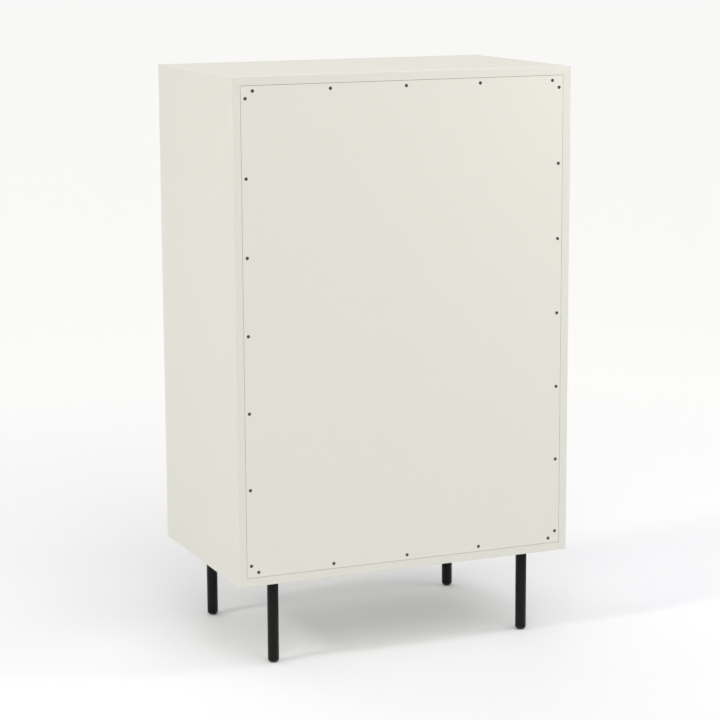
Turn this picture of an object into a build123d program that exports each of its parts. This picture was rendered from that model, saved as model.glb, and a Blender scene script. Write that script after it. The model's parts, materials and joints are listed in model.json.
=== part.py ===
from build123d import *
import os

# A tall chest of five drawers on four round legs, in millimetres.
# Facing the drawers, +X is to the right, +Y is to the rear and +Z is up. The origin is on
# the floor, under the middle of the chest and its pulls together.

# Case
case_width = 800
case_depth = 485
case_height = 1105
board = 19
arris = 1
leg_height = 190

# Back panel, its screws and the cleats that they bite in
back_thickness = 9
back_gap = 0.7
cleat = 20
screw_head_radius = 3.5
screw_shank_radius = 1.7
screw_length = 25
screw_sink = 0.3
screw_play = 0.1
screw_sides = 8
column_inset = 10
row_inset = 11
end_screw_offset = 26.6
screws_per_column = 7
screws_per_row = 5

# Legs
leg_radius = 12.5
leg_wall = 1.5
leg_cap = 5
leg_inset_x = 94
leg_inset_y = 42
stud_radius = 4
stud_length = 27
foot_radius = 7
foot_height = 5.5
glide_plug = 16
nut_across_flats = 13
nut_height = 6.5
nut_flange_radius = 10
nut_flange = 1.5
thread_play = 0.15
stud_hole_play = 0.3
plug_play = 0.1

# Drawers
drawer_count = 5
reveal = 3
front_thickness = 19
box_board = 14
box_height = 160
box_depth = 400
box_lift = 15
bottom_thickness = 6
bottom_lift = 10
groove_depth = 6
groove_play = 0.2
housing_depth = 5
back_board_inset = 8
tail_count = 5
tail_width = 22
tail_slope = 1 / 7
rail_depth = 60
rail_thickness = 19
rail_setback = 2

# Pulls, bent from flat bar
pull_length = 165
pull_bar = 5
pull_width = 10
pull_projection = 30
pull_bend = 8

# Telescopic runners, each of three rolled channels
runner_width = 12.7
runner_steel = 1.2
runner_length = 400
middle_runner_length = 390
case_runner_height = 45
case_runner_flange = 10
middle_runner_height = 35.2
middle_runner_start = 2.4
middle_runner_setback = 1
middle_runner_flange = 8
drawer_runner_height = 26
drawer_runner_flange = 7.7
runner_lip = 1.5
bend = 1.2

# Places worked out from the sizes above
front_y = pull_projection / 2 - case_depth / 2
back_y = front_y + case_depth
case_middle_z = leg_height + case_height / 2
opening_width = case_width - 2 * board
opening_height = case_height - 2 * board
opening_bottom = leg_height + board
front_width = opening_width - 2 * reveal
front_height = (opening_height - (drawer_count + 1) * reveal) / drawer_count
drawer_pitch = front_height + reveal
box_width = opening_width - 2 * runner_width
box_y = front_y + front_thickness
runner_middle = box_lift + box_height / 2

front_view = Plane(origin=(0, front_y, case_middle_z), x_dir=(1, 0, 0), z_dir=(0, -1, 0))
back_face = Plane(origin=(0, back_y, case_middle_z), x_dir=(-1, 0, 0), z_dir=(0, 1, 0))


def block(size, low):
    """A box of the given size with its lowest corner at low."""
    return Pos(*low) * Box(*size, align=(Align.MIN, Align.MIN, Align.MIN))


def case_ring():
    """The top, bottom and both sides as one ring, with its outer arrises eased."""
    outer = Rectangle(case_width, case_height)
    inner = Rectangle(opening_width, opening_height)
    ring = extrude(front_view * (outer - inner), amount=-case_depth)
    outside = ring.faces().sort_by(Axis.Z)[0] + ring.faces().sort_by(Axis.Z)[-1]
    outside += ring.faces().sort_by(Axis.X)[0] + ring.faces().sort_by(Axis.X)[-1]
    return chamfer(outside.edges(), arris)


def mitred_board(ring, length, span, turn):
    """One board of the ring, cut on its two mitres. The wedge that cuts it stands past both
    faces of the board and is turned about the middle of the ring."""
    past = board
    inside = board + past
    wedge = Polygon(
        (inside - length / 2, span / 2 - inside),
        (length / 2 - inside, span / 2 - inside),
        (length / 2 + past, span / 2 + past),
        (-length / 2 - past, span / 2 + past),
        align=None,
    )
    return ring & extrude(front_view * Rot(0, 0, turn) * wedge, amount=-case_depth)


def leg_spots():
    """The axis of each leg, by name."""
    x = case_width / 2 - leg_inset_x
    return {
        "front_left": Pos(-x, front_y + leg_inset_y),
        "front_right": Pos(x, front_y + leg_inset_y),
        "rear_left": Pos(-x, back_y - leg_inset_y),
        "rear_right": Pos(x, back_y - leg_inset_y),
    }


def bottom_panel(ring):
    """The bottom board, bored for the stud of each leg."""
    panel = mitred_board(ring, case_width, case_height, 180)
    hole_radius = stud_radius + stud_hole_play
    hole = Pos(0, 0, leg_height + board / 2) * Cylinder(hole_radius, 2 * board)
    return panel - [spot * hole for spot in leg_spots().values()]


def turned(*profile):
    """A solid turned about Z from (radius, height) points."""
    return revolve(Plane.XZ * Polygon(*profile, align=None), Axis.Z)


def leg():
    """A steel tube with a welded cap and stud, standing on the rim of its glide."""
    inside = leg_radius - leg_wall
    return turned(
        (0, leg_height - leg_cap),
        (inside, leg_height - leg_cap),
        (inside, foot_height),
        (leg_radius, foot_height),
        (leg_radius, leg_height),
        (stud_radius, leg_height),
        (stud_radius, leg_height + stud_length),
        (0, leg_height + stud_length),
    )


def glide():
    """A nylon glide: a tapered foot with a plug that fills the end of the tube."""
    plug_radius = leg_radius - leg_wall - plug_play
    return turned(
        (0, 0),
        (foot_radius, 0),
        (leg_radius, foot_height),
        (plug_radius, foot_height),
        (plug_radius, foot_height + glide_plug),
        (0, foot_height + glide_plug),
    )


def leg_nut():
    """A hexagon nut with a flange, on the stud of a leg and down on the bottom board."""
    bore = Circle(stud_radius + thread_play)
    hexagon = RegularPolygon(nut_across_flats / 2, 6, major_radius=False)
    flange = extrude(Circle(nut_flange_radius) - bore, amount=nut_flange)
    body = extrude(hexagon - bore, amount=nut_height)
    return Pos(0, 0, leg_height + board) * (flange + body)


def wood_screw(play=0):
    """A flat-head screw along -Z with the middle of its head at the origin, in flats that
    are near enough to round at its size. With play, the shape of its hole, which runs on at
    the same slope to the face above the head."""
    rise = screw_sink if play else 0
    head_depth = screw_head_radius - screw_shank_radius + rise
    head_size = screw_head_radius + play + rise
    head = RegularPolygon(head_size, screw_sides, major_radius=False)
    shank = RegularPolygon(screw_shank_radius + play, screw_sides, major_radius=False)
    cone = Pos(0, 0, rise) * extrude(head, amount=-head_depth, taper=45)
    return cone + extrude(shank, amount=-screw_length - play)


def back_screw_spots():
    """Two columns of screws beside the case sides and two rows beside the top and bottom.
    Each line starts the same way in from the corners, so no screw is in two lines."""
    panel_width = opening_width - 2 * back_gap
    panel_height = opening_height - 2 * back_gap
    column_pitch = (panel_height - 2 * end_screw_offset) / (screws_per_column - 1)
    row_pitch = (panel_width - 2 * end_screw_offset) / (screws_per_row - 1)
    column_gap = panel_width - 2 * column_inset
    row_gap = panel_height - 2 * row_inset
    columns = GridLocations(column_gap, column_pitch, 2, screws_per_column)
    rows = GridLocations(row_pitch, row_gap, screws_per_row, 2)
    sunk = back_face.location * Pos(0, 0, -screw_sink)
    return [sunk * spot for spot in [*columns, *rows]]


def screw_holes():
    """The countersunk hole of every screw in the back."""
    return [spot * wood_screw(play=screw_play) for spot in back_screw_spots()]


def back_panel(holes):
    """The inset back, flush with the rear edges of the case, with its screw holes."""
    outline = Rectangle(opening_width - 2 * back_gap, opening_height - 2 * back_gap)
    return extrude(back_face * outline, amount=-back_thickness) - holes


def back_cleats(holes):
    """Four battens round the inside of the case for the back panel to be screwed to."""
    y = back_y - back_thickness - cleat
    x = opening_width / 2
    upright = (cleat, cleat, opening_height)
    level = (opening_width - 2 * cleat, cleat, cleat)
    battens = [
        block(upright, (-x, y, opening_bottom)),
        block(upright, (x - cleat, y, opening_bottom)),
        block(level, (cleat - x, y, opening_bottom)),
        block(level, (cleat - x, y, opening_bottom + opening_height - cleat)),
    ]
    return [batten - holes for batten in battens]


def drawer_levels():
    """The height of the lower edge of each drawer front, from the top drawer down."""
    first = opening_bottom + reveal
    return [first + drawer_pitch * row for row in reversed(range(drawer_count))]


def drawer_rails():
    """A rail behind each gap between two fronts, tying the case sides together."""
    y = front_y + front_thickness + rail_setback
    size = (opening_width, rail_depth, rail_thickness)
    drop = (reveal + rail_thickness) / 2
    return [block(size, (-opening_width / 2, y, z - drop)) for z in drawer_levels()[:-1]]


def drawer_front():
    """The applied front, with its front arrises eased."""
    size = (front_width, front_thickness, front_height)
    front = block(size, (-front_width / 2, front_y, 0))
    return chamfer(front.faces().sort_by(Axis.Y)[0].edges(), arris)


def side_x(side):
    """The lower X of a drawer side. side is -1 for left and 1 for right."""
    return side * (box_width - box_board) / 2 - box_board / 2


def dovetails(side):
    """The tails on the front end of a drawer side, as one solid each. They fill the
    thickness of the box front and flare towards it."""
    root = tail_width / 2 - box_board * tail_slope
    pitch = box_height / tail_count
    tail = Polygon(
        (0, -root),
        (0, root),
        (-box_board, tail_width / 2),
        (-box_board, -tail_width / 2),
        align=None,
    )
    corner = (side_x(side), box_y + box_board, box_lift)
    side_face = Plane(origin=corner, x_dir=(0, 1, 0), z_dir=(1, 0, 0))
    rows = [Pos(0, pitch * (number + 0.5)) for number in range(tail_count)]
    return [extrude(side_face * row * tail, amount=box_board) for row in rows]


def drawer_bottom(play=0):
    """The bottom, let into all four boards of the box. With play, the grooves for it."""
    reach = groove_depth - box_board + play
    back_reach = reach - back_board_inset
    width = box_width + 2 * reach
    depth = box_depth + reach + back_reach
    size = (width, depth, bottom_thickness + play)
    return block(size, (-width / 2, box_y - reach, box_lift + bottom_lift - play / 2))


def box_back():
    """The back board of a drawer box, let into a housing in each side."""
    width = box_width - 2 * (box_board - housing_depth)
    y = box_y + box_depth - box_board - back_board_inset
    return block((width, box_board, box_height), (-width / 2, y, box_lift))


def box_side(side):
    """A drawer side with dovetails on its front end, and with a housing for the back board
    and a groove for the bottom."""
    size = (box_board, box_depth - box_board, box_height)
    plank = block(size, (side_x(side), box_y + box_board, box_lift))
    return plank + dovetails(side) - box_back() - drawer_bottom(play=groove_play)


def box_front():
    """The front board of a drawer box: pins between sockets that the tails fill."""
    plank = block((box_width, box_board, box_height), (-box_width / 2, box_y, box_lift))
    return plank - dovetails(-1) - dovetails(1) - drawer_bottom(play=groove_play)


def drawer_pull():
    """A flat bar bent to a wide U, with both ends square on the drawer front."""
    x = (pull_length - pull_bar) / 2
    y = pull_projection - pull_bar / 2
    bar = FilletPolyline((-x, 0), (-x, -y), (x, -y), (x, 0), radius=pull_bend)
    place = Pos(0, front_y, (front_height - pull_width) / 2)
    return place * extrude(trace(bar, line_width=pull_bar), amount=pull_width)


def channel(start, flange, height, lip_out):
    """Half the outline of a rolled channel, as the middle line of its steel. start is how far
    the back of its web stands off, and flange is how far its edges reach, less than nothing
    for a channel that opens the other way. lip_out turns the lips away from the middle."""
    way = 1 if flange > 0 else -1
    web = start + way * runner_steel / 2
    edge = start + flange - way * runner_steel / 2
    top = height / 2 - runner_steel / 2
    lip = top + (runner_lip if lip_out else -runner_lip)
    corner = way * bend
    return [
        (web, top - bend),
        (web + corner, top),
        (edge, top),
        (edge, lip),
    ]


def runner(start, flange, height, lip_out, length, y):
    """One member of a right-hand runner, hung level with the middle of the drawer box."""
    upper = channel(start, flange, height, lip_out)
    lower = [(across, -up) for across, up in reversed(upper)]
    section = trace(Polyline(*lower, *upper), line_width=runner_steel)
    place = Plane(
        origin=(opening_width / 2, y, runner_middle), x_dir=(-1, 0, 0), z_dir=(0, 1, 0)
    )
    return extrude(place * section, amount=length)


def case_runner():
    """The outer channel, fixed to the case side."""
    y = box_y + rail_setback
    return runner(0, case_runner_flange, case_runner_height, False, runner_length, y)


def middle_runner():
    """The channel that rides between the other two."""
    y = box_y + rail_setback + middle_runner_setback
    start = middle_runner_start
    flange = middle_runner_flange
    return runner(start, flange, middle_runner_height, False, middle_runner_length, y)


def drawer_runner():
    """The inner channel, fixed to the drawer side and open towards the case."""
    flange = -drawer_runner_flange
    return runner(runner_width, flange, drawer_runner_height, True, runner_length, box_y)


def pair(right_hand):
    """The left and right members of a runner pair."""
    return [mirror(right_hand, about=Plane.YZ), right_hand]


def drawer_nodes():
    """Every part of one drawer, with its front's lower edge at height 0."""
    return {
        "front": [drawer_front()],
        "box_front": [box_front()],
        "left_side": [box_side(-1)],
        "right_side": [box_side(1)],
        "box_back": [box_back() - drawer_bottom(play=groove_play)],
        "bottom": [drawer_bottom()],
        "pull": [drawer_pull()],
        "runners": pair(drawer_runner()),
        "middle_runners": pair(middle_runner()),
    }


def case_nodes():
    """Every part of the case, its legs and its fixed runners."""
    ring = case_ring()
    holes = screw_holes()
    runners = [Pos(0, 0, z) * part for z in drawer_levels() for part in pair(case_runner())]
    nodes = {
        "top_panel": [mitred_board(ring, case_width, case_height, 0)],
        "bottom_panel": [bottom_panel(ring)],
        "left_side_panel": [mitred_board(ring, case_height, case_width, 90)],
        "right_side_panel": [mitred_board(ring, case_height, case_width, -90)],
        "back_panel": [back_panel(holes)],
        "back_panel_screws": [spot * wood_screw() for spot in back_screw_spots()],
        "back_cleats": back_cleats(holes),
        "drawer_rails": drawer_rails(),
        "case_runners": runners,
        "leg_glides": [spot * glide() for spot in leg_spots().values()],
        "leg_nuts": [spot * leg_nut() for spot in leg_spots().values()],
    }
    for name, spot in leg_spots().items():
        nodes[f"{name}_leg"] = [spot * leg()]
    return nodes


def chest_nodes():
    """Every node of the chest, with its solids in place. Drawer 1 is the top one."""
    nodes = case_nodes()
    one_drawer = drawer_nodes()
    for number, z in enumerate(drawer_levels(), start=1):
        for name, solids in one_drawer.items():
            nodes[f"drawer_{number}_{name}"] = [Pos(0, 0, z) * part for part in solids]
    return nodes


os.makedirs("parts", exist_ok=True)
for name, solids in chest_nodes().items():
    export_step(Compound(children=solids), f"parts/{name}.step")
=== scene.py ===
import json
import math

import bmesh
import bpy
from mathutils import Matrix, Vector

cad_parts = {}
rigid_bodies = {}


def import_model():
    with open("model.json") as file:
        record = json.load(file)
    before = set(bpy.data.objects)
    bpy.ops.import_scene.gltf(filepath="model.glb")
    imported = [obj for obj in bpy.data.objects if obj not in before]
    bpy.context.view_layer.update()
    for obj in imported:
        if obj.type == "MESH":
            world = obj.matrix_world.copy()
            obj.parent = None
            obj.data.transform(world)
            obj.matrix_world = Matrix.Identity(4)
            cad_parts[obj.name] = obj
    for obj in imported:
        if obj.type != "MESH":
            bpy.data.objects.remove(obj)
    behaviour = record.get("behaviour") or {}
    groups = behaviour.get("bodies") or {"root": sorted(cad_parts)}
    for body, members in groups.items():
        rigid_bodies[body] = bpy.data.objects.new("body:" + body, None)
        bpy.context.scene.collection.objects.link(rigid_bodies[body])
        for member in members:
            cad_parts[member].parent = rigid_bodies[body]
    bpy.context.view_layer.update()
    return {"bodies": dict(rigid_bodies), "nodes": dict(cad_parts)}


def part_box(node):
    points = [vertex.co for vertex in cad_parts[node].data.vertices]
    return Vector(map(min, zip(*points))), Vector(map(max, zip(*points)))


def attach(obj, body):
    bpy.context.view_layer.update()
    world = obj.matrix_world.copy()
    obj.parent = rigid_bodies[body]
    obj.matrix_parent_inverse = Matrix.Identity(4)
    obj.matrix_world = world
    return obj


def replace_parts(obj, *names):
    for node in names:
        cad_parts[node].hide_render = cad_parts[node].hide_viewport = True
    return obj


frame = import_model()

# --- Case boards -------------------------------------------------------------------------
# Four mitred fibreboard panels and the inset back, sprayed with a satin off-white lacquer.
# The coat is even, with a faint cloudiness and the fine orange peel of a spray gun. It is
# a little deeper in shade on the cut edges, which drink up more of it.


def shader(name):
    """A new material and a maker of its nodes. A maker call sets each input to a value or
    joins it to another node's socket. Inputs go by name, or by number after a low line."""
    material = bpy.data.materials.new(name)
    material.use_nodes = True
    tree = material.node_tree
    tree.nodes.clear()

    def node(kind, settings=None, **inputs):
        made = tree.nodes.new(kind)
        for key, value in (settings or {}).items():
            setattr(made, key, value)
        for key, value in inputs.items():
            called = int(key[1:]) if key[0] == "_" else key.replace("_", " ")
            socket = made.inputs[called]
            if isinstance(value, bpy.types.NodeSocket):
                tree.links.new(value, socket)
            else:
                socket.default_value = value
        return made

    return material, node


def stretched(node, x, y, z):
    """The object's own coordinates, each multiplied, so that a pattern is drawn out."""
    place = node("ShaderNodeTexCoord").outputs["Object"]
    return node("ShaderNodeMapping", Vector=place, Scale=(x, y, z)).outputs["Vector"]


def noise(node, place, scale, detail=2.0, roughness=0.5):
    """A noise pattern from 0 to 1, with about scale features to the metre."""
    made = node(
        "ShaderNodeTexNoise", Vector=place, Scale=scale, Detail=detail, Roughness=roughness
    )
    return made.outputs["Fac"]


def blended(node, amount, low, high):
    """A colour between low and high, by amount from 0 to 1. Either may be a socket."""
    low, high = [c if isinstance(c, bpy.types.NodeSocket) else (*c, 1) for c in (low, high)]
    mix = node("ShaderNodeMix", {"data_type": "RGBA"}, _0=amount, _6=low, _7=high)
    return mix.outputs[2]


def between(node, amount, low, high, start=0.0, end=1.0):
    """A number from low to high, as amount goes from start to end."""
    made = node(
        "ShaderNodeMapRange",
        Value=amount,
        From_Min=start,
        From_Max=end,
        To_Min=low,
        To_Max=high,
    )
    return made.outputs["Result"]


def coated(node, height, depth, **inputs):
    """The surface and output of a material, with its relief from height, depth metres deep."""
    relief = node("ShaderNodeBump", Height=height, Strength=1.0, Distance=depth)
    surface = node("ShaderNodeBsdfPrincipled", Normal=relief.outputs["Normal"], **inputs)
    node("ShaderNodeOutputMaterial", Surface=surface.outputs["BSDF"])


def lacquer(name, shade, deep_shade):
    """Sprayed satin lacquer, between two close shades."""
    material, node = shader(name)
    place = stretched(node, 1, 1, 1)
    clouds_per_metre, peel_per_metre, peel_depth = 2.5, 700.0, 0.00002
    cloud = noise(node, place, clouds_per_metre, 3.0)
    peel = noise(node, place, peel_per_metre, 1.0)
    coated(
        node,
        peel,
        peel_depth,
        Base_Color=blended(node, cloud, deep_shade, shade),
        Roughness=between(node, cloud, 0.42, 0.52),
    )
    return material


def eased(name, width):
    """Rounds the sharp edges of a CAD node by width metres."""
    obj = frame["nodes"][name]
    weld = obj.modifiers.new("joined", "WELD")
    weld.merge_threshold = 0.00001
    flat = obj.modifiers.new("whole faces", "DECIMATE")
    flat.decimate_type = "DISSOLVE"
    flat.angle_limit = math.radians(0.5)
    bevel = obj.modifiers.new("eased edges", "BEVEL")
    bevel.width = width
    bevel.segments = 2
    bevel.limit_method = "ANGLE"
    bevel.angle_limit = math.radians(30)
    bevel.harden_normals = True
    obj.data.shade_smooth()


def give(material, width, *nodes):
    """Puts one material on whole CAD nodes, and eases their edges by width metres."""
    for name in nodes:
        mesh = frame["nodes"][name].data
        mesh.materials.clear()
        mesh.materials.append(material)
        if width:
            eased(name, width)


off_white, deep_off_white = (0.742, 0.732, 0.656), (0.726, 0.716, 0.641)
edge_white, deep_edge_white = (0.726, 0.715, 0.641), (0.711, 0.700, 0.627)
case_lacquer = lacquer("case_lacquer", off_white, deep_off_white)
edge_lacquer = lacquer("edge_lacquer", edge_white, deep_edge_white)
sharp = 0
case_boards = ["top_panel", "bottom_panel", "left_side_panel", "right_side_panel"]
give(case_lacquer, sharp, *case_boards, "back_panel")
front_or_rear = 0.9
for name in case_boards:
    board = frame["nodes"][name].data
    board.materials.append(edge_lacquer)
    for polygon in board.polygons:
        if abs(polygon.normal.y) > front_or_rear:
            polygon.material_index = 1

# --- Back screws -------------------------------------------------------------------------
# Countersunk chipboard screws of browned steel with a cross recess, driven level with the
# face of the back. A rim of lacquer lines the edge of each hole.


def combined(name, forms, materials):
    """One mesh from many pairs of a mesh and its place."""
    bm = bmesh.new()
    for mesh, place in forms:
        part = bmesh.new()
        part.from_mesh(mesh)
        part.transform(place)
        whole = bpy.data.meshes.new("part")
        part.to_mesh(whole)
        part.free()
        bm.from_mesh(whole)
        bpy.data.meshes.remove(whole)
    joined = bpy.data.meshes.new(name)
    bm.to_mesh(joined)
    bm.free()
    for material in materials:
        joined.materials.append(material)
    return joined


def fitted(name, mesh, body):
    """A piece of the scene that moves with a body and takes its finish from a slot."""
    obj = bpy.data.objects.new(name, mesh)
    bpy.context.scene.collection.objects.link(obj)
    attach(obj, body)
    return obj


def ring(bm, radius, height, sides, wave=None):
    """A ring of points about the z axis. wave changes the radius at each angle."""
    points = []
    for step in range(sides):
        angle = math.tau * step / sides
        reach = radius + (wave(angle) if wave else 0)
        points.append(bm.verts.new((reach * math.cos(angle), reach * math.sin(angle), height)))
    return points


def skin(bm, rings, closed=True):
    """Faces between neighbouring rings of points, and over the last one if closed."""
    for upper, lower in zip(rings, rings[1:]):
        for step in range(len(upper)):
            after = (step + 1) % len(upper)
            face = bm.faces.new((upper[step], lower[step], lower[after], upper[after]))
            face.smooth = True
    if closed:
        bm.faces.new(reversed(rings[-1]))


round_sides = 32


def cross_screw(name, head, recess, shank, core, pitch, length):
    """A cross-recess screw that points down the z axis, with its top at the origin. head is
    its profile from the flat of the top outwards, in pairs of radius and height."""
    bm = bmesh.new()
    rings = [ring(bm, radius, height, round_sides) for radius, height in head]
    rings_per_turn, turns_in_tip, blunt_tip = 4, 3, 0.15
    steps = int(length / pitch * rings_per_turn)
    for step in range(1, steps + 1):
        depth = length * step / steps
        taper = min(1.0, (length - depth) / (turns_in_tip * pitch) + blunt_tip)

        def thread(angle, depth=depth, taper=taper):
            phase = (depth / pitch - angle / math.tau) % 1
            return (shank - core) * max(0.0, 1 - abs(phase - 0.5) * 4) * taper

        rings.append(ring(bm, core * taper, head[-1][1] - depth, round_sides, thread))
    skin(bm, rings)
    arm, narrowing, deepness = recess * 0.3, 0.55, recess * 1.1
    corner = [(arm, recess), (arm, arm), (recess, arm)]
    outline = []
    for turn in range(4):
        spin = Matrix.Rotation(-math.pi / 2 * turn, 2)
        outline += [spin @ Vector(point) for point in corner]
    top = head[0][1]
    rim = [bm.verts.new((x, y, top)) for x, y in outline]
    pit = [bm.verts.new((x * narrowing, y * narrowing, top - deepness)) for x, y in outline]
    edges = [bm.edges.new((rim[i], rim[i - 1])) for i in range(len(rim))]
    edges += [edge for edge in bm.edges if all(v in rings[0] for v in edge.verts)]
    bmesh.ops.triangle_fill(bm, use_beauty=True, edges=edges, normal=(0, 0, 1))
    for i in range(len(rim)):
        bm.faces.new((rim[i], pit[i], pit[i - 1], rim[i - 1]))
    bm.faces.new(pit)
    bmesh.ops.recalc_face_normals(bm, faces=bm.faces)
    mesh = bpy.data.meshes.new(name)
    bm.to_mesh(mesh)
    bm.free()
    return mesh


def metal(name, shade, deep_shade, low, high, grain):
    """Bare or browned metal, cloudy between two shades, with a roughness from low to high."""
    material, node = shader(name)
    place = stretched(node, *grain)
    clouds_per_metre, scratches_per_metre, scratch_depth = 120.0, 900.0, 0.00001
    cloud = noise(node, place, clouds_per_metre, 4.0, 0.6)
    scratches = noise(node, place, scratches_per_metre, 2.0)
    coated(
        node,
        scratches,
        scratch_depth,
        Base_Color=blended(node, cloud, deep_shade, shade),
        Roughness=between(node, scratches, low, high),
        Metallic=1.0,
    )
    return material


plain_grain = (1, 1, 1)
brown, deep_brown = (0.165, 0.150, 0.128), (0.09, 0.081, 0.069)
browned = metal("screw_steel", brown, deep_brown, 0.26, 0.40, plain_grain)
wood_screw_head = [(0.0036, 0), (0.00375, -0.00001), (0.0038, -0.00004), (0.0017, -0.0022)]
wood_screw = cross_screw(
    "wood_screw",
    wood_screw_head,
    recess=0.0019,
    shank=0.0017,
    core=0.0012,
    pitch=0.0018,
    length=0.0225,
)

bm = bmesh.new()
rim_section = [(0.00427, -0.00001), (0.00387, -0.00001), (0.00385, -0.00003)]
rim_section += [(0.0038, -0.0007), (0.00427, -0.0007)]
rings = [ring(bm, radius, height, round_sides) for radius, height in rim_section]
skin(bm, rings + rings[:1], closed=False)
bmesh.ops.recalc_face_normals(bm, faces=bm.faces)
crater = bpy.data.meshes.new("crater")
bm.to_mesh(crater)
bm.free()

back_face, back_middle, sink = 0.2575, 0.7425, 0.00005
column_out, column_reach, per_column = 0.3703, 0.5062, 7
row_out, row_reach, per_row = 0.5218, 0.3537, 5
spots = []
for side in (-1, 1):
    for step in range(per_column):
        up = column_reach * (step - per_column // 2) / (per_column // 2)
        spots.append((side * column_out, back_middle + up))
for side in (-1, 1):
    for step in range(per_row):
        along = row_reach * (step - per_row // 2) / (per_row // 2)
        spots.append((along, back_middle + side * row_out))
backwards = Matrix.Rotation(-math.pi / 2, 4, "X")
uneven_turn = 2.4
screws, craters = [], []
for index, (x, z) in enumerate(spots):
    turned = backwards @ Matrix.Rotation(index * uneven_turn, 4, "Z")
    screws.append((wood_screw, Matrix.Translation((x, back_face - sink, z)) @ turned))
    craters.append((crater, Matrix.Translation((x, back_face, z)) @ turned))
screw_mesh = combined("back_screws", screws, [browned])
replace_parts(fitted("back_screws", screw_mesh, "case"), "back_panel_screws")
crater_mesh = combined("screw_craters", craters, [case_lacquer])
fitted("screw_craters", crater_mesh, "case")

# --- Legs and glides ---------------------------------------------------------------------
# Steel tubes with welded caps and studs, powder coated matt black. A turned black nylon
# glide closes the lower end of each and tapers to the floor.
powder, node = shader("black_powder_coat")
grit_per_metre, grit_depth = 1800.0, 0.00005
grit = noise(node, stretched(node, 1, 1, 1), grit_per_metre, 2.0)
coated(
    node,
    grit,
    grit_depth,
    Base_Color=blended(node, grit, (0.003, 0.003, 0.0027), (0.006, 0.006, 0.0056)),
    Roughness=between(node, grit, 0.32, 0.42),
    Specular_IOR_Level=0.19,
)
cap_edge = 0.0002
legs = ["front_left_leg", "front_right_leg", "rear_left_leg", "rear_right_leg"]
give(powder, cap_edge, *legs)

nylon, node = shader("black_nylon")
wear = noise(node, stretched(node, 1, 1, 1), 300.0)
turned_across, mark_depth = 60, 0.00003
turning = noise(node, stretched(node, 1, 1, turned_across), 40.0, 2.0)
coated(
    node,
    turning,
    mark_depth,
    Base_Color=blended(node, turning, (0.014, 0.014, 0.014), (0.022, 0.022, 0.022)),
    Roughness=between(node, wear, 0.35, 0.5),
)
give(nylon, cap_edge, "leg_glides")

# --- Cleats, rails and nuts --------------------------------------------------------------
# Planed pine battens, glued round the inside of the case for the back to be screwed to,
# with one rail behind each gap between two drawers. Zinc-plated flanged nuts hold the legs.


def wood(name, grain, pale, deep, growth, figure):
    """Planed wood with its grain along the axis named by grain, and darker on its end grain.
    growth is how close its growth rings are and figure is how strongly they show."""
    material, node = shader(name)
    long, fine = 0.06, 0.025
    place = stretched(node, *(long if axis == grain else 1 for axis in "xyz"))
    drawn = stretched(node, *(fine if axis == grain else 1 for axis in "xyz"))
    warp = noise(node, place, 9.0, 2.0)
    bands = node(
        "ShaderNodeTexWave",
        {"bands_direction": "DIAGONAL"},
        Vector=place,
        Scale=growth,
        Distortion=6.0,
        Detail=3.0,
        Detail_Scale=1.5,
        Detail_Roughness=0.6,
    ).outputs["Fac"]
    fibres = noise(node, drawn, 900.0, 4.0, 0.7)
    pores = between(node, noise(node, drawn, 1500.0, 1.0), 0.0, 1.0, 0.58, 0.72)
    ground = blended(node, between(node, bands, 0.0, figure), pale, deep)
    clouded = blended(node, between(node, warp, 0.0, 0.35), ground, deep)
    streaked = blended(node, between(node, fibres, 0.0, 0.75, 0.35, 0.7), clouded, deep)
    dark, end_deep = (tuple(share * part for part in deep) for share in (0.72, 0.86))
    along = blended(node, between(node, pores, 0.0, 0.55), streaked, dark)
    facing = node("ShaderNodeNewGeometry").outputs["True Normal"]
    parts = node("ShaderNodeSeparateXYZ", Vector=facing).outputs[grain.upper()]
    across = node("ShaderNodeMath", {"operation": "ABSOLUTE"}, _0=parts).outputs[0]
    rings = node(
        "ShaderNodeTexWave",
        {"wave_type": "RINGS", "rings_direction": "Y" if grain == "y" else "X"},
        Vector=stretched(node, 1, 1, 3),
        Scale=70.0,
        Distortion=4.0,
        Detail=2.0,
    ).outputs["Fac"]
    open_grain = noise(node, stretched(node, 1, 1, 1), 2200.0, 1.0)
    ends = blended(node, between(node, rings, 0.0, 0.6), end_deep, dark)
    speckled = blended(node, between(node, open_grain, 0.0, 0.5, 0.4, 0.7), ends, dark)
    fibre_depth = 0.00008
    coated(
        node,
        fibres,
        fibre_depth,
        Base_Color=blended(node, between(node, across, 0.0, 1.0, 0.6, 0.8), along, speckled),
        Roughness=between(node, fibres, 0.48, 0.62),
    )
    return material


pine, deep_pine = (0.62, 0.44, 0.24), (0.44, 0.26, 0.11)
pine_x = wood("pine_along_x", "x", pine, deep_pine, growth=28.0, figure=0.8)
pine_z = wood("pine_along_z", "z", pine, deep_pine, growth=28.0, figure=0.8)
planed_edge = 0.0006
give(pine_x, planed_edge, "drawer_rails")
give(pine_x, sharp, "back_cleats")
cleats = frame["nodes"]["back_cleats"].data
cleats.materials.append(pine_z)
upright_cleats_from = 0.3609
for polygon in cleats.polygons:
    if abs(polygon.center.x) > upright_cleats_from:
        polygon.material_index = 1

zinc_white, zinc_grey, rolled_grain = (0.68, 0.69, 0.70), (0.52, 0.53, 0.55), (1, 0.08, 1)
zinc = metal("zinc_plate", zinc_white, zinc_grey, 0.24, 0.4, rolled_grain)
nut_edge = 0.0002
give(zinc, nut_edge, "leg_nuts")

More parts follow.
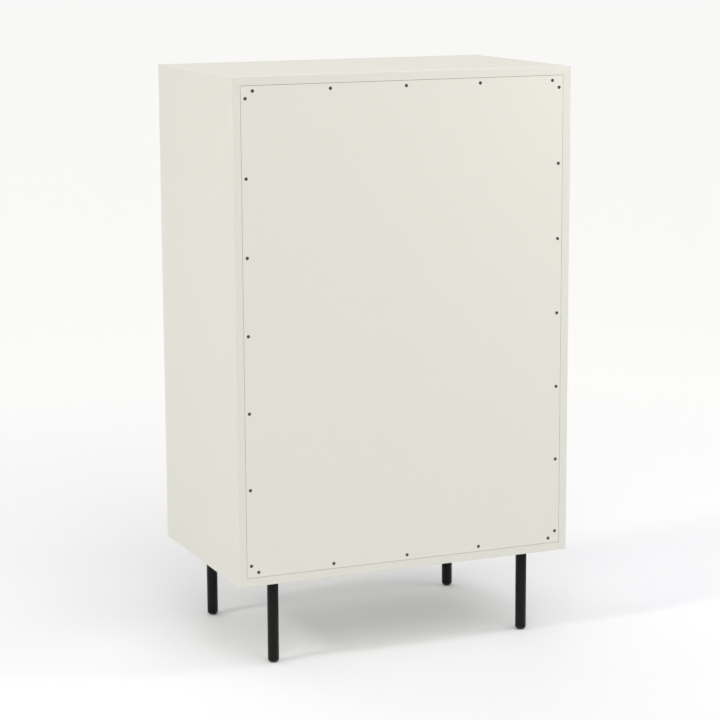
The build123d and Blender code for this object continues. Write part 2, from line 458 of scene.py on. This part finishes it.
# --- Drawer fronts and pulls -------------------------------------------------------------
# Flat fibreboard fronts in the lacquer of the case, their edges just broken with paper.
# The pulls are bent from flat steel bar and powder coated like the legs.
moving = [name for name in frame["bodies"] if name.startswith("drawer_")]
drawers = [name for name in moving if "middle" not in name]
front_lacquer = lacquer("front_lacquer", off_white, deep_off_white)
broken_edge, bar_edge = 0.00015, 0.0004
for drawer in drawers:
    give(front_lacquer, broken_edge, f"{drawer}_front")
    give(powder, bar_edge, f"{drawer}_pull")

# --- Drawer boxes ------------------------------------------------------------------------
# Dovetailed birch boards round a birch plywood bottom, with a clear lacquer. Screws with
# pan heads hold the box to its front, and machine screws hold the pull.
birch, deep_birch = (0.76, 0.60, 0.41), (0.60, 0.43, 0.26)
birch_x = wood("birch_along_x", "x", birch, deep_birch, growth=16.0, figure=0.45)
birch_y = wood("birch_along_y", "y", birch, deep_birch, growth=16.0, figure=0.45)
ply, deep_ply = (0.74, 0.60, 0.42), (0.64, 0.48, 0.31)
plywood = wood("birch_plywood", "y", ply, deep_ply, growth=9.0, figure=0.5)
pan = [(0.0015, 0.0018), (0.0024, 0.0016), (0.0031, 0.0009), (0.0033, 0.0), (0.0016, 0.0)]
pan_screw = cross_screw(
    "pan_screw", pan, recess=0.0014, shank=0.0016, core=0.0012, pitch=0.0016, length=0.012
)
sanded_edge, ply_edge = 0.0003, 0.0002
front_screw_x, front_screw_z, pull_screw_x = 0.29, 0.045, 0.08
forwards = Matrix.Rotation(-math.pi / 2, 4, "X")
for drawer in drawers:
    give(birch_x, sanded_edge, f"{drawer}_box_front", f"{drawer}_box_back")
    give(birch_y, sanded_edge, f"{drawer}_left_side", f"{drawer}_right_side")
    give(plywood, ply_edge, f"{drawer}_bottom")
    low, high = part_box(f"{drawer}_box_front")
    pull_low, pull_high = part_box(f"{drawer}_pull")
    box_height = (low.z + high.z) / 2
    pull_height = (pull_low.z + pull_high.z) / 2
    screw_spots = [
        (x, box_height + z)
        for x in (-front_screw_x, front_screw_x)
        for z in (-front_screw_z, front_screw_z)
    ]
    screw_spots += [(x, pull_height) for x in (-pull_screw_x, pull_screw_x)]
    fixings = [
        (pan_screw, Matrix.Translation((x, high.y, z)) @ forwards) for x, z in screw_spots
    ]
    front_screws = combined("front_screws", fixings, [zinc])
    fitted(f"{drawer}_front_screws", front_screws, drawer)

# --- Runners -----------------------------------------------------------------------------
# Roll-formed zinc-plated channels, one inside another, on steel balls in pressed cages. The
# outer cage keeps to the case and the inner one to the middle channel. A black lever on
# the innermost channel lets the drawer be lifted out.
track_white, track_grey, drawn_grain = (0.66, 0.67, 0.68), (0.55, 0.56, 0.58), (1, 0.05, 1)
track = metal("runner_steel", track_white, track_grey, 0.25, 0.42, drawn_grain)
ball_white, ball_grey = (0.78, 0.78, 0.78), (0.70, 0.70, 0.70)
ball_steel = metal("ball_steel", ball_white, ball_grey, 0.08, 0.16, plain_grain)
smooth_to = math.radians(35)
channel_thickness, cage_thickness = 0.0012, 0.0005


def sheet_metal(name, bm, thickness):
    """A mesh of sheet metal from the middle of its thickness, with rounded bends shaded
    smooth and its cut edges sharp."""
    bmesh.ops.recalc_face_normals(bm, faces=bm.faces)
    middle_sheet = bpy.data.meshes.new("middle_sheet")
    bm.to_mesh(middle_sheet)
    bm.free()
    obj = bpy.data.objects.new("middle_sheet", middle_sheet)
    bpy.context.scene.collection.objects.link(obj)
    solid = obj.modifiers.new("thickness", "SOLIDIFY")
    solid.thickness = thickness
    solid.offset = 0
    solid.use_even_offset = True
    thickened = obj.evaluated_get(bpy.context.evaluated_depsgraph_get())
    made = bpy.data.meshes.new_from_object(thickened)
    bpy.data.objects.remove(obj)
    bpy.data.meshes.remove(middle_sheet)
    made.name = name
    made.shade_smooth()
    made.set_sharp_from_angle(angle=smooth_to)
    return made


def slot_outline(y, v, length, width, steps=6):
    """The outline of a slot with round ends, along y."""
    straight = (length - width) / 2
    points = []
    for way in (1, -1):
        for step in range(steps + 1):
            angle = math.pi * step / steps - math.pi / 2
            points.append((
                y + way * (straight + width / 2 * math.cos(angle)),
                v + way * width / 2 * math.sin(angle),
            ))
    return points


def channel(name, section, start, end, slots):
    """A rolled channel from start to end along y. section is the middle line of its upper
    half, from the edge of the web outwards. Each slot in its web is its place along y and
    up from the middle, its length and its width."""
    bm = bmesh.new()
    web, half = section[0]
    outlines = [[(start, -half), (end, -half), (end, half), (start, half)]]
    outlines += [slot_outline(*opening) for opening in slots]
    edges, corners = [], []
    for outline in outlines:
        loop = [bm.verts.new((web, y, v)) for y, v in outline]
        corners = corners or loop
        edges += [bm.edges.new((loop[i - 1], loop[i])) for i in range(len(loop))]
    bmesh.ops.triangle_fill(bm, use_beauty=True, edges=edges, normal=(1, 0, 0))
    for way, near, far in ((-1, corners[0], corners[1]), (1, corners[3], corners[2])):
        for u, v in section[1:]:
            following = [bm.verts.new((u, y, way * v)) for y in (start, end)]
            bm.faces.new((near, far, following[1], following[0]))
            near, far = following
    return sheet_metal(name, bm, channel_thickness)


def rolled(web, top, edge, lip):
    """The middle line of a channel's upper half. It bends round from the web to the flange,
    which runs from web to edge at the height of top, and its lip turns to the height lip."""
    way = 1 if edge > web else -1
    bend, bend_steps, tight_bend = 0.0012, 4, 0.0006
    line = [(web, top - bend)]
    for step in range(1, bend_steps + 1):
        angle = math.pi / 2 * step / bend_steps
        out, down = 1 - math.cos(angle), 1 - math.sin(angle)
        line.append((web + way * bend * out, top - bend * down))
    turn = tight_bend if lip > top else -tight_bend
    line += [(edge - way * tight_bend, top), (edge, top + turn), (edge, lip)]
    return line


def cage(name, start, end, web, flange, reach, ball, ball_reach):
    """A pressed ball cage of two rows, and its balls. web is its distance from the case side,
    flange its half height, reach how far its flanges go, and ball a ball's radius."""
    bm = bmesh.new()
    pitch, web_strip, solid_part = 0.012, 2, 0.55
    count = int((end - start) / pitch)
    section = [(reach, flange), (web, flange), (web, flange * solid_part)]
    section += [(web, -flange * solid_part), (web, -flange), (reach, -flange)]
    rows = []
    for step in range(count * 2 + 1):
        y = start + pitch / 2 * step
        rows.append([bm.verts.new((u, y, v)) for u, v in section])
    for step, (near, far) in enumerate(zip(rows, rows[1:])):
        window = step % 4 in (1, 2)
        for strip in range(len(section) - 1):
            if strip == web_strip and window:
                continue
            bm.faces.new((near[strip], far[strip], far[strip + 1], near[strip + 1]))
    pressed = sheet_metal(f"{name}_frame", bm, cage_thickness)
    bm = bmesh.new()
    bm.from_mesh(pressed)
    for step in range(count):
        for side in (-1, 1):
            spot = Matrix.Translation((ball_reach, start + pitch * (step + 0.5), side * flange))
            made = bmesh.ops.create_icosphere(bm, subdivisions=2, radius=ball, matrix=spot)
            for vert in made["verts"]:
                for face in vert.link_faces:
                    face.material_index = 1
                    face.smooth = True
    mesh = bpy.data.meshes.new(name)
    bm.to_mesh(mesh)
    bm.free()
    return mesh


def lever(name):
    """The release lever: a thin sprung blade with a round eye at its fixed end and a thumb
    pad at the other."""
    bm = bmesh.new()
    length, steps, near_face, thickness = 0.046, 20, 0.0113, 0.0014
    eye_height, dip, dip_pace = 0.0034, 0.0030, 1.25
    half_blade, pad_growth, pad_from, pad_part = 0.0009, 0.0012, 0.72, 0.28
    eye_radius, eye_back, eye_steps, eye_mouth = 0.0026, 0.0024, 16, 20
    upper, lower = [], []
    for step in range(steps + 1):
        along = step / steps
        v = eye_height - dip * math.sin(math.pi * min(1.0, along * dip_pace))
        half = half_blade + pad_growth * max(0.0, along - pad_from) / pad_part
        upper.append((length * along, v + half))
        lower.append((length * along, v - half))
    eye = []
    for step in range(eye_steps + 1):
        angle = math.radians(eye_mouth + (360 - 2 * eye_mouth) * step / eye_steps)
        out, up = eye_radius * math.cos(angle), eye_radius * math.sin(angle)
        eye.append((out - eye_back, eye_height - up))
    outline = upper + lower[::-1] + eye
    outer, inner = (
        [bm.verts.new((u, y, v)) for y, v in outline] for u in (near_face, near_face - thickness)
    )
    bm.faces.new(outer)
    bm.faces.new(inner)
    for i in range(len(outline)):
        bm.faces.new((outer[i - 1], outer[i], inner[i], inner[i - 1]))
    bmesh.ops.recalc_face_normals(bm, faces=bm.faces)
    mesh = bpy.data.meshes.new(name)
    bm.to_mesh(mesh)
    bm.free()
    mesh.shade_smooth()
    mesh.set_sharp_from_angle(angle=smooth_to)
    return mesh


# Every channel has slots for its screws and longer ones that take weight out of it.
case_slots = [(y, 0, 0.009, 0.0046) for y in (-0.14, 0.02, 0.12)]
case_slots += [(y, v, 0.014, 0.005) for y in (-0.1, 0.07) for v in (-0.012, 0.012)]
case_section = rolled(web=0.0006, top=0.0219, edge=0.0094, lip=0.0204)
case_channel = channel("case_channel", case_section, -0.2065, 0.1935, case_slots)

middle_slots = [(y, 0, 0.03, 0.008) for y in (-0.16, -0.08, 0.0, 0.08, 0.16)]
middle_section = rolled(web=0.0030, top=0.0170, edge=0.0098, lip=0.0155)
middle_channel = channel("middle_channel", middle_section, -0.2055, 0.1845, middle_slots)

inner_slots = [(y, 0, 0.010, 0.0046) for y in (-0.155, 0.025, 0.135)]
inner_slots += [(0.075, 0, 0.022, 0.006), (-0.045, 0.004, 0.006, 0.0045)]
inner_section = rolled(web=0.0121, top=0.0124, edge=0.0056, lip=0.0139)
inner_channel = channel("inner_channel", inner_section, -0.2085, 0.1915, inner_slots)

outer_cage = cage(
    "outer_cage",
    start=-0.198,
    end=-0.03,
    web=0.0020,
    flange=0.01945,
    reach=0.0085,
    ball=0.00175,
    ball_reach=0.006,
)
inner_cage = cage(
    "inner_cage",
    start=-0.198,
    end=-0.02,
    web=0.0045,
    flange=0.0147,
    reach=0.0090,
    ball=0.0016,
    ball_reach=0.0078,
)
release = lever("release")
flat = [(0.0030, 0.0002), (0.0038, 0.0001), (0.0038, 0.0), (0.0017, -0.001)]
flat_screw = cross_screw(
    "flat_screw", flat, recess=0.0016, shank=0.0016, core=0.0012, pitch=0.0016, length=0.011
)
case_side, box_side = 0.381, 0.3695
case_screw_places, box_screw_places, lever_place = (-0.17, -0.01, 0.15), (-0.18, 0.0, 0.16), -0.09


def both_hands(form, height, y=0):
    """A form made for the left side of the case and its mirror image for the right side,
    each with its place and facing the right way out."""
    left = Matrix.Translation((-case_side, y, height))
    right = Matrix.Translation((case_side, y, height)) @ Matrix.Diagonal((-1, 1, 1, 1))
    turned_over = form.copy()
    turned_over.flip_normals()
    return [(form, left), (turned_over, right)]


case_channels = []
for drawer in drawers:
    low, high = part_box(f"{drawer}_runners")
    height = (low.z + high.z) / 2
    middles = f"{drawer}_middle_runners"
    case_channels += both_hands(case_channel, height)

    channels = combined("inner", both_hands(inner_channel, height), [track])
    inner = fitted(f"{drawer}_inner_channels", channels, drawer)
    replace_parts(inner, f"{drawer}_runners")
    channels = combined("middle", both_hands(middle_channel, height), [track])
    middle = fitted(f"{drawer}_middle_channels", channels, middles)
    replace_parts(middle, middles)

    cages = combined("outer_cages", both_hands(outer_cage, height), [track, ball_steel])
    fitted(f"{drawer}_outer_cages", cages, "case")
    cages = combined("inner_cages", both_hands(inner_cage, height), [track, ball_steel])
    fitted(f"{drawer}_inner_cages", cages, middles)
    levers = combined("levers", both_hands(release, height, lever_place), [nylon])
    fitted(f"{drawer}_release_levers", levers, drawer)

    pans, flats = [], []
    for side in (-1, 1):
        to_case = Matrix.Rotation(side * math.pi / 2, 4, "Y")
        to_box = Matrix.Rotation(-side * math.pi / 2, 4, "Y")
        web = case_side - channel_thickness
        for y in box_screw_places:
            pans.append((pan_screw, Matrix.Translation((side * box_side, y, height)) @ to_case))
        for y in case_screw_places:
            flats.append((flat_screw, Matrix.Translation((side * web, y, height)) @ to_box))
    runner_screws = combined("runner_screws", pans, [zinc])
    fitted(f"{drawer}_runner_screws", runner_screws, drawer)
    case_screws = combined("case_screws", flats, [zinc])
    fitted(f"{drawer}_case_screws", case_screws, "case")
channels = combined("case_channels", case_channels, [track])
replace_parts(fitted("case_channels", channels, "case"), "case_runners")

# --- Floor, lights and camera ------------------------------------------------------------
# Pale paper, with soft lamps all round, and the camera behind the chest, to its right and
# a little above it. The paper is painted lighter away from the chest, out to white, as
# painted light that evens the floor out beyond the lamps' pool. Near the chest it is painted
# a little bluer, as painted cool shade against the warm light bounced into its shadow.
# None of this is part of the chest.
floor_mesh = bpy.data.meshes.new("floor")
reach = 400.0
corners = [(-reach, -reach, 0), (reach, -reach, 0), (reach, reach, 0), (-reach, reach, 0)]
floor_mesh.from_pydata(corners, [], [(0, 1, 2, 3)])
floor = bpy.data.objects.new("floor", floor_mesh)
bpy.context.scene.collection.objects.link(floor)
paper, node = shader("floor_paper")
place = stretched(node, 1, 1, 1)
tooth_per_metre, tooth_depth, painted_light_from, painted_light_to = 60.0, 0.00001, 0.8, 3.0
tooth = noise(node, place, tooth_per_metre)
# Painted light: the floor's colour goes lighter with distance from the chest, out to white, and
# it is painted a little bluer near the chest, as cool shade against warm bounced light.
away = node("ShaderNodeVectorMath", {"operation": "LENGTH"}, _0=place).outputs["Value"]
painted_light_sweep = between(node, away, 0.0, 1.0, painted_light_from, painted_light_to)
near = blended(node, tooth, (0.895, 0.90, 0.921), (0.90, 0.905, 0.926))
coated(
    node,
    tooth,
    tooth_depth,
    Base_Color=blended(node, painted_light_sweep, near, (0.995, 0.995, 0.995)),
    Roughness=0.9,
    Specular_IOR_Level=0.1,
)
floor_mesh.materials.append(paper)

world = bpy.data.worlds.new("studio")
world.use_nodes = True
tree = world.node_tree
fill = tree.nodes["Background"]
fill.inputs["Color"].default_value = (0.355, 0.355, 0.355, 1)
backdrop = tree.nodes.new("ShaderNodeBackground")
backdrop.inputs["Color"].default_value = (0.947, 0.947, 0.947, 1)
seen = tree.nodes.new("ShaderNodeLightPath")
either = tree.nodes.new("ShaderNodeMixShader")
tree.links.new(seen.outputs["Is Camera Ray"], either.inputs[0])
tree.links.new(fill.outputs[0], either.inputs[1])
tree.links.new(backdrop.outputs[0], either.inputs[2])
tree.links.new(either.outputs[0], tree.nodes["World Output"].inputs[0])
bpy.context.scene.world = world


def lamp(kind, name, place, aim, strength, colour=(1, 1, 1)):
    """A lamp at place, turned to aim."""
    data = bpy.data.lights.new(name, kind)
    data.energy = strength
    data.color = colour
    obj = bpy.data.objects.new(name, data)
    obj.location = place
    obj.rotation_mode = "QUATERNION"
    obj.rotation_quaternion = (Vector(aim) - Vector(place)).to_track_quat("-Z", "Y")
    bpy.context.scene.collection.objects.link(obj)
    return data


warm, plain = (1.03, 0.99, 0.93), (1.0, 1.0, 1.0)
# Each sun has its place, width in degrees, strength and colour.
suns = {
    "key": ((3.0, 0.475, 2.31), 8, 0.435, warm),
    "right": ((-2.0, 0.5, 3.2), 15, 0.22, plain),
    "left_front": ((2.6, -2.2, 1.6), 60, 0.34, warm),
    "far_side": ((0, -2.0, 2.2), 60, 0.60, plain),
    "near_side": ((0.2, 2.6, 2.6), 60, 1.225, plain),
}
for name, (place, width, strength, colour) in suns.items():
    sun = lamp("SUN", name, place, (0, 0, 0), strength, colour)
    sun.angle = math.radians(width)
# Each softbox has its place, aim, width, height and strength.
softboxes = {
    "overhead": ((0, 0.3, 2.9), (0, 0.1, 0), 1.6, 1.6, 6.4),
    "low_right": ((-1.5, 0.6, 1.4), (-0.2, 0, 0), 0.5, 0.5, 3.0),
    "high_right": ((-0.75, 0.95, 1.5), (-0.3, 0.25, 1.1), 0.5, 0.5, 0.8),
    "left": ((1.9, 0.4, 1.55), (0.2, 0, 0.1), 0.4, 0.4, 3.4),
}
for name, (place, aim, width, height, strength) in softboxes.items():
    softbox = lamp("AREA", name, place, aim, strength)
    softbox.shape = "RECTANGLE"
    softbox.size = width
    softbox.size_y = height

bpy.context.scene.view_settings.view_transform = "Standard"

camera_data = bpy.data.cameras.new("camera")
camera_data.lens = 118.768
camera_data.sensor_width = 36.0
camera_data.clip_start = 0.1
camera_data.clip_end = 1000.0
camera = bpy.data.objects.new("camera", camera_data)
azimuth, elevation, roll = math.radians(156.983), math.radians(10.6), math.radians(-0.296)
towards_camera = Vector((
    math.sin(azimuth) * math.cos(elevation),
    -math.cos(azimuth) * math.cos(elevation),
    math.sin(elevation),
))
level = (-towards_camera).to_track_quat("-Z", "Y")
camera.location = (2.1022, 4.9426, 1.6247)
camera.rotation_mode = "QUATERNION"
camera.rotation_quaternion = level @ Matrix.Rotation(roll, 3, "Z").to_quaternion()
bpy.context.scene.collection.objects.link(camera)
bpy.context.scene.camera = camera
